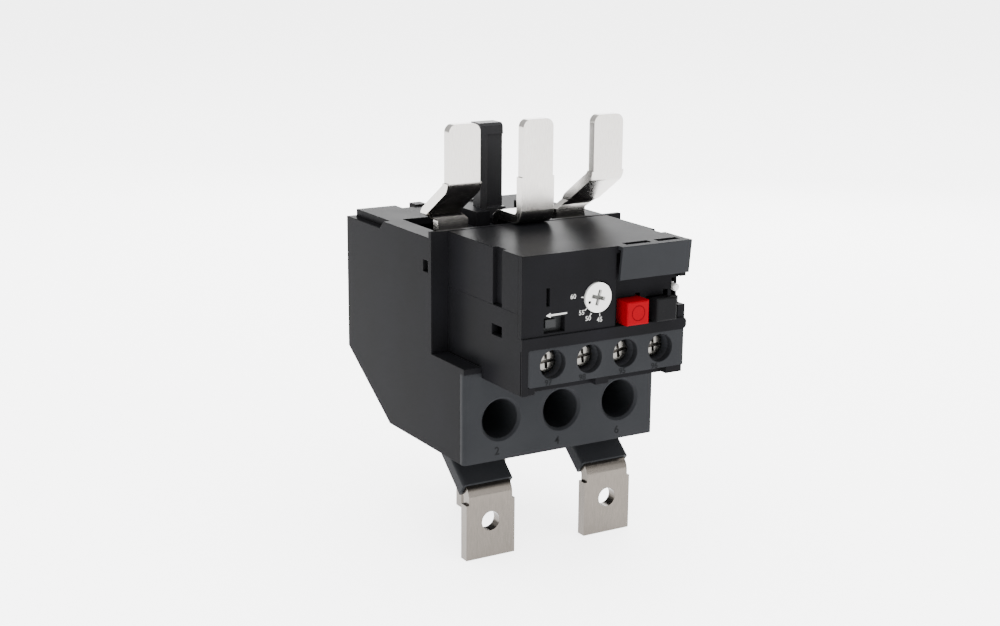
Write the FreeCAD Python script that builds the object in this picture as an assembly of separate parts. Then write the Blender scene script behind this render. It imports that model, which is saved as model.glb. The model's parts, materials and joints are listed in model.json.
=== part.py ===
import FreeCAD, Part

import os
from math import atan2, cos, hypot, pi, radians, sin, tan

# Thermal overload relay that hangs under a contactor by its three supply blades.
# X runs across the poles, Y from the dial panel to the rear, Z upwards.
# The origin is the middle of the bounding box, at the tips of the load tabs. Millimetres.

V = FreeCAD.Vector

# Overall sizes
overall_depth = 91.4
base_width = 60.0
tab_drop = 29.0            # underside of the base above the tips of the load tabs
pole_side = 11.2           # from the middle of an outer pole to the side of the base
wall = 2.0
joint_gap = 0.3            # loose moulded fits
slide_gap = 0.2            # guided moulded fits
pin_gap = 0.05             # radial, pins and shafts
clear = 1.0                # overshoot of a cutting tool past the face it opens
tiny = 0.01                # tolerance for picking edges

# Stack of levels, from the underside of the base up
shelf_height = 26.2        # top of the base under the mechanism
mechanism_drop = 2.8       # mechanism ahead of the base hangs below that shelf
terminal_height = 14.7     # control terminals, up to the top of the ledge
panel_height = 20.9        # dial panel, from the ledge to the lid
deck_step = 1.6            # deck of the base under the lid
blade_rise = 30.2          # blade tips above the deck
hook_rise = 26.6           # coupling hook above the deck

# Stack of depths, from the rear face forwards
middle_tab_room = 27.4
heater_room = 26.5
bimetal_room = 22.0
slide_room = 13.8

# Base housing
overhang = 20.0            # terminal cover behind the dial panel
shelf_thick = 1.6
cover_thick = 2.0
lip_rise = 1.7             # front wall of the base above its deck
mechanism_depth = 37.7
front_wall = 1.5
heel_length = 26.3         # slanted rear part of the underside
heel_height = 16.8
corner_step_depth = 2.2
corner_step_width = 2.0
corner_step_length = 21.3
rear_step_length = 2.3
middle_step_length = 7.0
middle_step_width = 31.2
divider_thick = 1.6
divider_window = 20.0
divider_window_height = 12.0
barrier_width = 4.0
barrier_length = 12.0
barrier_height = 4.1
barrier_front = 46.0
nub_width = 3.6
nub_length = 4.0
nub_height = 0.5
snap_width = 2.8
snap_height = 3.2
snap_back = 1.7
snap_drop = 9.4            # sill of the snap windows below the deck

# Supply blades
blade_width = 10.2
blade_leg_width = 9.4
blade_thick = 2.6
blade_bend = 2.6
blade_front = 33.3         # front face of the upright tab behind the dial panel
blade_leg = 46.0           # front face of the leg inside the base
blade_spread = 3.6         # outer blades stand this much further out than their poles
shoulder_rise = 14.8
shoulder_step = 0.45
jog_low_rise = 2.8
jog_high_rise = 5.1
knee_low_rise = 5.2
knee_high_rise = 13.6
blade_foot_drop = 11.4
blade_over_lid = 1.6       # middle blade's centre line above the lid
blade_corner = 2.2
deck_slot_side = 0.4
deck_slot_front = 0.6
deck_slot_length = 20.6
middle_slot_length = 10.8

# Load tabs
tab_width = 15.0
tab_thick = 3.0
tab_bend = 3.0
tab_neck = 13.4
tab_front = 25.0
tab_leg = 41.2             # front face of the clamped leg
tab_leg_top = 18.5
tab_elbow_drop = 10.6
tab_shoulder_drop = 13.4
tab_turn_height = 4.0
tab_hole = 5.4
tab_hole_height = 10.2
tab_slot_gap = 0.6

# Insulating sleeves
sleeve_wall = 0.9
sleeve_gap = 0.1
sleeve_round = 1.0

# Power terminals
access_bore = 10.7
access_height = 11.2
access_depth = 17.4
access_wall = 1.2
access_chamfer = 0.7
power_screw = 5.0
power_head = 9.4
power_head_thick = 3.2
power_nut = 8.0
power_nut_thick = 4.0
power_screw_length = 11.5

# Heaters and bimetals
heater_thick = 1.0
heater_width = 6.0
heater_low = 20.0
heater_top_drop = 5.4      # cross run of the heater below the deck
heater_weld = 15.0
bimetal_thick = 1.0
bimetal_width = 7.0
bimetal_seat = 14.0
bimetal_over_slide = 5.9
bimetal_foot = 1.2
bimetal_foot_width = 8.0

# Tripping slides
slide_thick = 2.0
slide_drop = 15.4          # lower slide below the lid
slide_tall = 3.2
slide_finger = 2.0
slide_travel = 1.2
slide_end_room = 3.0       # from the ends of the slides to the side walls
arm_side = 5.2
arm_thick = 1.8
arm_end = 25.6

# Mechanism housing
mechanism_width = 49.8
skin = 1.8
split_rise = 6.1           # joint of the two shells above the ledge
ledge_thick = 3.1
ledge_proud = 0.4
ledge_side = 0.4           # end of the ledge past the housing
ledge_round = 1.2
panel_right = 3.0          # right edge of the dial panel from the middle
recess_floor = 2.3
recess_floor_thick = 1.6
cheek_width = 2.3
cheek_rise = 3.4
cheek_step = 0.6
side_opening_drop = 9.9    # top of the opening beside the buttons below the lid
groove_front = 9.7
groove_width = 4.5
groove_depth = 1.3
latch_front = 9.6
latch_width = 5.0
latch_drop = 1.7
latch_height = 2.8
seam_front = 0.1
seam_width = 0.3
seam_depth = 0.3

# Control terminals
control_pitch = 11.0
control_shift = 0.9
control_rise = 7.2         # screws above the underside of the mechanism
control_bore = 7.5
control_head = 6.4
control_head_thick = 2.0
control_head_sunk = 3.4
control_screw = 3.4
control_screw_length = 9.0
strip_side = 1.8
strip_right_gap = 0.1
strip_thick = 2.0
strip_rise = 1.8
strip_round = 1.0
strip_bed = 2.2            # wall behind the cover
strip_bed_thick = 1.8
head_room = 0.6
clip_feet = [(-24.3, -20.9), (-2.6, 1.3), (19.4, 24.4)]
clamp_size = 6.4
clamp_thick = 2.4
wire_width = 5.6
wire_front = 4.3
wire_length = 5.0
contact_thick = 0.8
contact_width = 2.8
contact_shift = 1.4        # contact strips to the left of their screws
contact_plate = 5.6
contact_shelf_drop = 2.5
contact_shelf_thick = 1.2
contact_shelf_end = 15.0
contact_back = 16.0
contact_air = 0.1
cell_wall = 1.2

# Dial
dial_x = -2.5
dial_rise = 8.3
dial_face = 7.8
dial_proud = 0.4
dial_thick = 2.1
dial_ring = 0.3
dial_shaft = 3.6
dial_cam = 7.0
dial_cam_off = 1.1
dial_cam_angle = 200.0
dial_cam_thick = 3.0
dial_cross = 4.1
dial_cross_width = 1.0
dial_cross_depth = 0.9
dial_cross_angle = -15.0
bearing_front = 20.0
bearing_thick = 2.0
bearing_width = 8.0
bearing_over_dial = 4.6

# Buttons
button_proud = 2.4         # the foremost faces of the relay
button_tall = 6.3
button_round = 0.5
stop_x = 8.5
stop_width = 6.8
reset_x = 17.5
reset_width = 6.4
reset_slope = 1.1          # fall of the reset button's top towards its flange
button_flange = 0.5
button_flange_thick = 1.0
notch_width = 1.5
notch_height = 0.9
button_spring_length = 5.0
seat_thick = 1.6
seat_rise = 8.5
seat_drop = 1.3
seat_side = 1.0
spring_wire = 0.25
spring_radius = 1.9
spring_turns = 3.5
spring_sides = 5           # corners of the faceted wire
spring_steps = 10          # sections in each turn

# Test slider and flag
test_left = -18.5
test_window = 6.2
test_rise = 0.7
test_height = 3.95
test_nub_side = 0.95
test_nub_rise = 1.15
test_nub = 3.05
test_nub_tall = 2.15
test_travel = 0.8
test_sunk = 0.8
test_plate_side = 1.0
test_plate_thick = 1.2
test_end = 0.8
test_end_depth = 2.6
test_spring_turns = 3
flag_left = -17.8
flag_window = 1.0
flag_window_height = 4.65
flag_hidden = 0.65
flag_thick = 0.8
flag_width = 2.2
flag_height = 4.2

# Mode selector
selector_rise = 7.7        # pin above the ledge
selector_pin = 2.0
selector_proud = 0.9
selector_chamfer = 0.3
selector_slot_left = 22.0
selector_slot_low = 5.3
selector_slot_high = 10.3
selector_plate = 1.0
selector_plate_left = 21.7

# Contact carrier and trip lever
carrier_front = 12.5
carrier_depth = 3.0
carrier_drop = 8.0         # underside of the carrier below the lid
carrier_tall = 2.5
carrier_travel = 1.85
carrier_left = -18.6
carrier_right = 17.8
carrier_tail = 1.3
bridge_thick = 0.8
bridge_width = 2.6
bridge_reach = 1.4
tip_half = 0.9             # half the side of a contact tip
tip_tall = 0.6
lever_x = 11.0
lever_drop = 7.0
lever_front = 25.0
lever_thick = 2.4
lever_pin = 2.0
lever_boss = 5.0
lever_reach = 9.0
lever_shoulder = 1.5
lever_tip_rise = 1.0
lever_tip_thick = 2.0
lever_arm_tall = 1.8
lever_pin_length = 9.0

# Marker flap over the buttons
flap_left = 3.5
flap_side = 0.2
flap_drop = 8.8
flap_top_proud = 2.0
flap_low_proud = 1.0
flap_thick = 0.9
flap_lug_width = 4.0
flap_lug_tall = 2.0
flap_slots = [(6.3, 14.0), (16.1, 22.9)]
flap_slot_front = 0.4
flap_slot_length = 2.3

# Coupling hook
hook_left = -4.65
hook_low_right = 3.6
hook_top_right = 2.4
hook_thick = 4.2
hook_top_thick = 3.2
hook_front = 56.0
hook_cap = 5.5
hook_cap_tall = 2.4
hook_nose_tall = 3.2
hook_chamfer = 0.8
hook_rib = 2.1
hook_hollow_low = 2.0
hook_hollow_top = 0.5
hook_root = 3.0

# Datums worked out from the sizes above
panel_y = -overall_depth / 2 + button_proud
rear_y = overall_depth / 2
rear_depth = overall_depth - button_proud
middle_tab_front = rear_depth - middle_tab_room
heater_back = rear_depth - heater_room
bimetal_front = rear_depth - bimetal_room
slide_front = rear_depth - slide_room
floor_z = tab_drop
mechanism_low = shelf_height - mechanism_drop
ledge_level = mechanism_low + terminal_height
ledge_low = ledge_level - ledge_thick
lid_level = ledge_level + panel_height
deck_height = lid_level - deck_step
split_level = ledge_level + split_rise
blade_height = deck_height + blade_rise
blade_foot = deck_height - blade_foot_drop
hook_height = deck_height + hook_rise
slide_low = lid_level - slide_drop
bimetal_top = slide_low + bimetal_over_slide
heater_high = deck_height - heater_top_drop
carrier_low = lid_level - carrier_drop
lever_level = lid_level - lever_drop
control_level = mechanism_low + control_rise
strip_low = mechanism_low + strip_rise
contact_shelf = ledge_level - contact_shelf_drop
dial_level = ledge_level + dial_rise
button_low = ledge_level + slide_gap
button_level = button_low + button_tall / 2
cut_low = ledge_level + cheek_rise
cut_high = lid_level - side_opening_drop
flange_front = recess_floor + recess_floor_thick + slide_gap
seat_front = flange_front + button_flange_thick + button_spring_length
test_low = ledge_level + test_rise
flag_low = carrier_low - flag_hidden - flag_window_height
selector_level = ledge_level + selector_rise
half_base = base_width / 2
pole_pitch = half_base - pole_side
blade_pitch = pole_pitch + blade_spread
slide_half_length = half_base - wall - slide_end_room
half_mechanism = mechanism_width / 2
inside = half_mechanism - skin
pole_centres = [-pole_pitch, 0.0, pole_pitch]
control_centres = [control_shift + control_pitch * (i - 1.5) for i in range(4)]
contact_centres = [x - contact_shift for x in control_centres]
big = 4 * overall_depth


def back(distance):
    """Y of a plane at a distance behind the dial panel."""
    return panel_y + distance


def up(height):
    """Z of a level above the underside of the base."""
    return floor_z + height


def box(x0, x1, y0, y1, z0, z1):
    return Part.makeBox(x1 - x0, y1 - y0, z1 - z0, V(x0, y0, z0))


def rod_y(x, z, radius, y0, y1):
    return Part.makeCylinder(radius, y1 - y0, V(x, y0, z), V(0, 1, 0))


def rod_z(x, y, radius, z0, z1):
    return Part.makeCylinder(radius, z1 - z0, V(x, y, z0), V(0, 0, 1))


def cone_y(x, z, radius_front, radius_back, y0, y1):
    return Part.makeCone(radius_front, radius_back, y1 - y0, V(x, y0, z), V(0, 1, 0))


def prism_x(outline, x0, x1):
    """Extrudes an outline of (y, z) points along X."""
    points = [V(x0, y, z) for y, z in outline]
    face = Part.Face(Part.makePolygon(points + points[:1]))
    return face.extrude(V(x1 - x0, 0, 0))


def prism_y(outline, y0, y1):
    """Extrudes an outline of (x, z) points along Y."""
    points = [V(x, y0, z) for x, z in outline]
    face = Part.Face(Part.makePolygon(points + points[:1]))
    return face.extrude(V(0, y1 - y0, 0))


def rounded(shape, radius, test):
    """Fillets the edges whose middle point and direction pass a test."""
    edges = []
    for edge in shape.Edges:
        first, last = edge.Vertexes[0].Point, edge.Vertexes[-1].Point
        if test((first + last) * 0.5, last - first):
            edges.append(edge)
    return shape.makeFillet(radius, edges)


def along(direction, axis):
    """True where a direction runs along one axis only."""
    others = [i for i in range(3) if i != axis]
    return abs(direction[axis]) > tiny and all(abs(direction[i]) < tiny / 10 for i in others)


def bent_strip(route, thick, bend, x0, x1):
    """Strip metal bent along a route of (y, z) centre points, with a radius at each bend."""
    runs = []
    for (y0, z0), (y1, z1) in zip(route, route[1:]):
        length = hypot(y1 - y0, z1 - z0)
        runs.append(((y1 - y0) / length, (z1 - z0) / length))
    bends = []
    for (dy0, dz0), (dy1, dz1) in zip(runs, runs[1:]):
        turn = atan2(dy0 * dz1 - dz0 * dy1, dy0 * dy1 + dz0 * dz1)
        bends.append(turn)

    def side(offset):
        """Edges of one face of the strip, from the first end to the last."""
        edges = []
        at = V(x0, route[0][0] - runs[0][1] * offset, route[0][1] + runs[0][0] * offset)
        for i, turn in enumerate(bends):
            cut = bend * tan(abs(turn) / 2)
            (dy0, dz0), (dy1, dz1) = runs[i], runs[i + 1]
            corner_y, corner_z = route[i + 1]
            into = V(x0, corner_y - dy0 * cut - dz0 * offset, corner_z - dz0 * cut + dy0 * offset)
            out = V(x0, corner_y + dy1 * cut - dz1 * offset, corner_z + dz1 * cut + dy1 * offset)
            sense = 1 if turn > 0 else -1
            centre_y = corner_y - dy0 * cut - dz0 * bend * sense
            centre_z = corner_z - dz0 * cut + dy0 * bend * sense
            radius = bend - offset * sense
            half = turn / 2
            ray_y, ray_z = dz0 * sense, -dy0 * sense
            middle = V(
                x0,
                centre_y + radius * (ray_y * cos(half) - ray_z * sin(half)),
                centre_z + radius * (ray_y * sin(half) + ray_z * cos(half)),
            )
            edges.append(Part.LineSegment(at, into).toShape())
            edges.append(Part.Arc(into, middle, out).toShape())
            at = out
        end = V(x0, route[-1][0] - runs[-1][1] * offset, route[-1][1] + runs[-1][0] * offset)
        edges.append(Part.LineSegment(at, end).toShape())
        return edges

    left = side(thick / 2)
    right = side(-thick / 2)
    caps = []
    for index in (0, -1):
        vertex = 0 if index == 0 else -1
        ends = (left[index].Vertexes[vertex].Point, right[index].Vertexes[vertex].Point)
        caps.append(Part.LineSegment(*ends).toShape())
    outline = Part.Wire(Part.__sortEdges__(left + right + caps))
    return Part.Face(outline).extrude(V(x1 - x0, 0, 0))


def folded_strip(route, thick, x0, x1):
    """Strip metal folded sharply along a route of (y, z) centre points."""
    normals = []
    for (y0, z0), (y1, z1) in zip(route, route[1:]):
        length = hypot(y1 - y0, z1 - z0)
        normals.append(((z0 - z1) / length, (y1 - y0) / length))
    normals = normals[:1] + normals + normals[-1:]
    left = []
    right = []
    for (y, z), (before_y, before_z), (after_y, after_z) in zip(route, normals, normals[1:]):
        reach = thick / 2 / (1 + before_y * after_y + before_z * after_z)
        left.append((y + (before_y + after_y) * reach, z + (before_z + after_z) * reach))
        right.append((y - (before_y + after_y) * reach, z - (before_z + after_z) * reach))
    return prism_x(left + right[::-1], x0, x1)


def coil_spring(length, radius, turns):
    """Compression spring that stands on the origin along Z, lofted through sections of its wire."""
    rise = length - 2 * spring_wire
    count = int(round(turns * spring_steps))
    sections = []
    for k in range(count + 1):
        turn = 2 * pi * turns * k / count
        out = V(cos(turn), sin(turn), 0)
        middle = out * radius + V(0, 0, spring_wire + rise * k / count)
        corners = []
        for i in range(spring_sides):
            angle = 2 * pi * (i + 0.5) / spring_sides
            corners.append(middle + out * (spring_wire * cos(angle)) + V(0, 0, spring_wire * sin(angle)))
        sections.append(Part.makePolygon(corners + corners[:1]))
    return Part.makeLoft(sections, True, True)


def shell_outline(inset):
    """Side outline of the base, moved inwards by the inset, front left out."""
    run = hypot(heel_length, heel_height)
    slope_y, slope_z = heel_length / run, heel_height / run
    low = floor_z + inset
    rear = rear_y - inset
    start_y = rear_y - heel_length - slope_z * inset
    start_z = floor_z + slope_y * inset
    heel_y = start_y + (low - start_z) * slope_y / slope_z
    heel_z = start_z + (rear - start_y) * slope_z / slope_y
    return [(heel_y, low), (rear, heel_z), (rear, up(deck_height) - inset)]


def make_base_housing():
    toe_y = back(overhang) + cover_thick
    front_y = back(mechanism_depth)
    shelf_z = up(shelf_height)
    deck_z = up(deck_height)
    outer = [(toe_y, floor_z)] + shell_outline(0) + [(front_y, deck_z), (front_y, shelf_z), (toe_y, shelf_z)]
    body = prism_x(outer, -half_base, half_base)
    inner_front = front_y + front_wall
    inner = [(toe_y - wall, floor_z + wall)] + shell_outline(wall)
    inner += [(inner_front, deck_z - wall), (inner_front, shelf_z - shelf_thick)]
    inner += [(toe_y - wall, shelf_z - shelf_thick)]
    hollow = prism_x(inner, -half_base + wall, half_base - wall)
    body = body.cut(hollow)

    # Shelf edge over the terminal cover, and the lip of the front wall
    body = body.fuse(box(-half_base, half_base, back(overhang), toe_y, shelf_z - shelf_thick, shelf_z))
    body = body.fuse(box(-half_base, half_base, front_y, front_y + front_wall, deck_z, deck_z + lip_rise))

    # Dividers between the poles, with a window for the tripping slides
    for x in (-pole_pitch / 2, pole_pitch / 2):
        divider = prism_x(inner, x - divider_thick / 2, x + divider_thick / 2)
        divider = divider.cut(box(-half_base, half_base, toe_y - wall, toe_y + joint_gap, floor_z, shelf_z))
        window_front = back(slide_front) - bimetal_width - 2 * slide_thick
        window_low = up(slide_low) - joint_gap
        divider = divider.cut(
            box(x - divider_thick, x + divider_thick, window_front, window_front + divider_window,
                window_low, window_low + divider_window_height)
        )
        body = body.fuse(divider)
        barrier_y = back(barrier_front)
        body = body.fuse(
            box(x - barrier_width / 2, x + barrier_width / 2, barrier_y, barrier_y + barrier_length,
                deck_z - wall, deck_z + barrier_height)
        )

    # Seats of the bimetals
    for x in pole_centres:
        seat = box(x - bimetal_foot_width / 2 - joint_gap, x + bimetal_foot_width / 2 + joint_gap,
                   back(bimetal_front) - joint_gap, back(bimetal_front) + bimetal_width + joint_gap,
                   floor_z, up(bimetal_seat) - bimetal_foot)
        body = body.fuse(seat.common(prism_x(outer, -half_base, half_base)))

    # Steps along the rear edges of the deck, with the deck doubled under them
    step_z = deck_z - corner_step_depth
    above = deck_z + barrier_height
    within = half_base - wall
    middle = middle_step_width / 2
    under_low = step_z - wall
    body = body.fuse(box(-within, within, rear_y - rear_step_length - wall, rear_y - wall,
                         under_low, deck_z - wall))
    body = body.fuse(box(-middle - wall, middle + wall, rear_y - middle_step_length - wall, rear_y - wall,
                         under_low, deck_z - wall))
    body = body.cut(box(-half_base, half_base, rear_y - rear_step_length, rear_y, step_z, deck_z))
    body = body.cut(box(-middle, middle, rear_y - middle_step_length, rear_y, step_z, deck_z))
    step_y = rear_y - corner_step_length
    notch = [(step_y, step_z), (rear_y, step_z), (rear_y, above), (step_y - corner_step_depth, above),
             (step_y - corner_step_depth, deck_z)]
    for side in (-1, 1):
        inner_x = side * (half_base - corner_step_width)
        under_x = inner_x - side * wall
        body = body.fuse(box(min(inner_x, under_x), max(inner_x, under_x), step_y - corner_step_depth,
                             rear_y - wall, under_low, deck_z - wall))
        body = body.cut(prism_x(notch, min(inner_x, side * half_base), max(inner_x, side * half_base)))

    # Nubs between the poles on the middle step
    nub_y = rear_y - middle_step_length + joint_gap
    for x in (-pole_pitch / 2, pole_pitch / 2):
        body = body.fuse(box(x - nub_width / 2, x + nub_width / 2, nub_y, nub_y + nub_length,
                             step_z - wall / 2, deck_z + nub_height))

    # Slots for the blades
    for x in pole_centres:
        half = blade_leg_width / 2 + deck_slot_side
        slot_y = back(blade_leg) - deck_slot_front
        slot_end = slot_y + (middle_slot_length if x == 0 else deck_slot_length)
        body = body.cut(box(x - half, x + half, slot_y, slot_end, deck_z - 2 * wall, deck_z + wall))

    # Slots for the load tabs
    for x in pole_centres:
        half = tab_width / 2 + tab_slot_gap
        if x == 0:
            slot_y = back(middle_tab_front) - tab_slot_gap
            slot_end = slot_y + tab_thick + 2 * tab_slot_gap
        else:
            slot_y = back(tab_leg) - 2 * tab_thick
            slot_end = back(tab_leg) + tab_thick + sleeve_wall + tab_slot_gap
        body = body.cut(box(x - half, x + half, slot_y, slot_end, floor_z - wall, floor_z + 2 * wall))

    # Slot for the arm of the tripping slide
    body = body.cut(arm_window(front_y - joint_gap, front_y + front_wall + joint_gap))

    # Snap windows in the side walls
    window_y, window_z = front_y + snap_back, deck_z - snap_drop
    for x in (-half_base, half_base - wall):
        body = body.cut(box(x, x + wall, window_y, window_y + snap_width, window_z, window_z + snap_height))
    return body.removeSplitter()


def make_terminal_cover():
    """Grey front of the base, with a square chimney to each terminal screw."""
    front = back(overhang)
    top = up(shelf_height - shelf_thick)
    plate = box(-half_base, half_base, front, front + cover_thick, floor_z, top)
    plate = rounded(plate, strip_round, lambda at, way: along(way, 2) and at.y < front + tiny)
    chimney_end = front + access_depth
    half = access_bore / 2 + access_wall
    z = up(access_height)
    for x in pole_centres:
        plate = plate.fuse(box(x - half, x + half, front + cover_thick / 2, chimney_end, z - half, z + half))
    rim = access_bore / 2 + access_chamfer
    for x in pole_centres:
        plate = plate.cut(rod_y(x, z, access_bore / 2, front - clear, chimney_end + clear))
        plate = plate.cut(cone_y(x, z, rim, access_bore / 2, front, front + access_chamfer))
    return plate.removeSplitter()


def blade_outline(x, shift):
    """Front view of one blade: leg, jog, shoulders and tip."""
    leg, wide = blade_leg_width / 2, blade_width / 2
    slim = wide - shoulder_step
    deck, top = up(deck_height), up(blade_height)
    shoulder = deck + shoulder_rise
    low = deck + (jog_low_rise if x else joint_gap)
    high = deck + (jog_high_rise if x else 2 * joint_gap)
    c = x + shift
    return [
        (x - leg, floor_z), (x + leg, floor_z), (x + leg, low), (c + wide, high), (c + wide, shoulder),
        (c + slim, shoulder), (c + slim, top), (c - slim, top), (c - slim, shoulder), (c - wide, shoulder),
        (c - wide, high), (x - leg, low),
    ]


def make_supply_blade(x):
    """Blade that the contactor's terminal clamps, bent down into the base."""
    shift = (x / pole_pitch) * (blade_pitch - pole_pitch)
    tab_y = back(blade_front) + blade_thick / 2
    leg_y = back(blade_leg) + blade_thick / 2
    foot, deck, top = up(blade_foot), up(deck_height), up(blade_height)
    if x == 0:
        level = up(lid_level) + blade_over_lid
        route = [(leg_y, foot), (leg_y, level), (tab_y, level), (tab_y, top)]
    else:
        route = [(leg_y, foot), (leg_y, deck + knee_low_rise), (tab_y, deck + knee_high_rise), (tab_y, top)]
    wide = blade_width + 2 * blade_pitch
    strip = bent_strip(route, blade_thick, blade_bend, x - wide, x + wide)
    blade = strip.common(prism_y(blade_outline(x, shift), -big, big))
    return rounded(blade, blade_corner, lambda at, way: along(way, 1) and at.z > top - tiny)


def make_load_tab(x):
    """Lug for the motor cable: clamped leg, bend and a tab with a hole."""
    leg_y = back(tab_leg) + tab_thick / 2
    if x == 0:
        tab_y = back(middle_tab_front) + tab_thick / 2
        turn_z = up(tab_turn_height)
        route = [(leg_y, up(tab_leg_top)), (leg_y, turn_z), (tab_y, turn_z), (tab_y, 0.0)]
    else:
        tab_y = back(tab_front) + tab_thick / 2
        route = [(leg_y, up(tab_leg_top)), (leg_y, up(tab_thick)),
                 (tab_y, up(-tab_elbow_drop)), (tab_y, 0.0)]
    half, neck = tab_width / 2, tab_neck / 2
    shoulder = up(-tab_shoulder_drop)
    outline = [
        (x - half, 0.0), (x + half, 0.0), (x + half, shoulder), (x + neck, shoulder),
        (x + neck, up(tab_leg_top + tab_thick)), (x - neck, up(tab_leg_top + tab_thick)),
        (x - neck, shoulder), (x - half, shoulder),
    ]
    strip = bent_strip(route, tab_thick, tab_bend, x - tab_width, x + tab_width)
    tab = strip.common(prism_y(outline, -big, big))
    tab = tab.cut(rod_y(x, tab_hole_height, tab_hole / 2, tab_y - tab_thick, tab_y + tab_thick))
    screw_hole = rod_y(x, up(access_height), power_screw / 2 + joint_gap,
                       leg_y - tab_thick, leg_y + tab_thick)
    return tab.cut(screw_hole)


def make_sleeve(x):
    """Insulating sleeve on the slanted run of an outer load tab."""
    leg_y = back(tab_leg) + tab_thick / 2
    tab_y = back(tab_front) + tab_thick / 2
    top_z, low_z = up(tab_thick), up(-tab_elbow_drop)
    run = hypot(tab_y - leg_y, low_z - top_z)
    way_y, way_z = (tab_y - leg_y) / run, (low_z - top_z) / run
    past_bend = tab_bend + tab_thick / 2
    start = (leg_y + way_y * past_bend, top_z + way_z * past_bend)
    end = (tab_y - way_y * tab_thick / 2, low_z - way_z * tab_thick / 2)
    half = tab_neck / 2 + sleeve_gap + sleeve_wall
    thick = tab_thick + 2 * (sleeve_gap + sleeve_wall)
    outer = bent_strip([start, end], thick, tab_bend, x - half, x + half)
    outer = rounded(outer, sleeve_round,
                    lambda at, way: not along(way, 0) and abs(way.y * way_y + way.z * way_z) > 2 * thick)
    hollow_half = tab_neck / 2 + sleeve_gap
    before = (start[0] - way_y, start[1] - way_z)
    after = (end[0] + way_y, end[1] + way_z)
    hollow = bent_strip([before, after], tab_thick + 2 * sleeve_gap, tab_bend,
                        x - hollow_half, x + hollow_half)
    return outer.cut(hollow)


def make_power_screws():
    """Screws that clamp the load tabs, with their captive nuts."""
    screws = []
    nuts = []
    head_y = back(tab_leg) - power_head_thick
    shank_y = head_y + power_head_thick
    tab_back = back(tab_leg) + tab_thick
    nut_end = tab_back + power_nut_thick
    z = up(access_height)
    half = power_nut / 2
    for x in pole_centres:
        head = rod_y(x, z, power_head / 2, head_y, shank_y)
        shank = rod_y(x, z, power_screw / 2, shank_y, shank_y + power_screw_length)
        screws.append(head.fuse(shank))
        nut = box(x - half, x + half, tab_back, nut_end, z - half, up(heater_weld) - joint_gap)
        nuts.append(nut.cut(rod_y(x, z, power_screw / 2, tab_back - clear, nut_end + clear)))
    return Part.makeCompound(screws), Part.makeCompound(nuts)


def make_heater(x):
    """Resistance strap from the blade's leg down to the load tab."""
    tab_back = back(tab_leg) + tab_thick + heater_thick / 2
    leg_back = back(blade_leg) + blade_thick + heater_thick / 2
    route = [(tab_back, up(heater_weld)), (tab_back, up(heater_low)), (back(heater_back), up(heater_low)),
             (back(heater_back), up(heater_high)), (leg_back, up(heater_high)), (leg_back, up(blade_foot))]
    return folded_strip(route, heater_thick, x - heater_width / 2, x + heater_width / 2)


def make_bimetal(x):
    """Bimetal strip that bends sideways when its heater warms it."""
    front = back(bimetal_front)
    foot = box(x - bimetal_foot_width / 2, x + bimetal_foot_width / 2, front, front + bimetal_width,
               up(bimetal_seat) - bimetal_foot, up(bimetal_seat))
    strip = box(x - bimetal_thick / 2, x + bimetal_thick / 2, front, front + bimetal_width,
                up(bimetal_seat) - bimetal_foot / 2, up(bimetal_top))
    return foot.fuse(strip).removeSplitter()


def make_trip_slide():
    """Lower slide: a finger beside each bimetal and an arm to the trip lever."""
    front = back(slide_front)
    finger_front = front - bimetal_width + joint_gap
    low, high = up(slide_low), up(slide_low) + slide_tall
    slide = box(-slide_half_length, slide_half_length - slide_travel, front, front + slide_thick, low, high)
    for x in pole_centres:
        side = x + bimetal_thick / 2 + joint_gap
        slide = slide.fuse(box(side, side + slide_finger, finger_front, front, low, high))
    arm = box(arm_side, arm_side + arm_thick, back(arm_end), front, low, high - joint_gap)
    return slide.fuse(arm).removeSplitter()


def make_differential_slide():
    """Upper slide, on the other side of the bimetals, for the loss of a phase."""
    front = back(slide_front)
    finger_front = front - bimetal_width + joint_gap
    low = up(slide_low) + slide_tall + joint_gap
    high = low + slide_tall
    slide = box(-slide_half_length, slide_half_length - slide_travel, front, front + slide_thick, low, high)
    for x in pole_centres:
        side = x - bimetal_thick / 2 - joint_gap - slide_travel
        slide = slide.fuse(box(side - slide_finger, side, finger_front, front, low, high))
    return slide.removeSplitter()


def arm_window(y0, y1):
    """Room for the arm of the tripping slide through a wall."""
    low = up(slide_low)
    return box(arm_side - joint_gap, arm_side + arm_thick + slide_travel + joint_gap, y0, y1,
               low - joint_gap, low + slide_tall + joint_gap)


def selector_slot():
    """Slot of the mode selector through the recess floor, with a pocket in the side wall."""
    recess_y = panel_y + recess_floor
    pocket_end = recess_y + recess_floor_thick + selector_plate + 2 * slide_gap
    return box(selector_slot_left, half_mechanism - cheek_step, recess_y - clear, pocket_end,
               up(ledge_level) + selector_slot_low, up(ledge_level) + selector_slot_high)


def side_opening():
    """Opening in the side wall beside the buttons, and the step behind it."""
    recess_y = panel_y + recess_floor
    low, high = up(cut_low), up(cut_high)
    front, outer_x = panel_y - clear, half_mechanism + clear
    opening = box(inside - clear, outer_x, front, recess_y, low, high)
    step = box(half_mechanism - cheek_step, outer_x, front, recess_y + recess_floor_thick, low, high)
    return opening.fuse(step)


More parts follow.
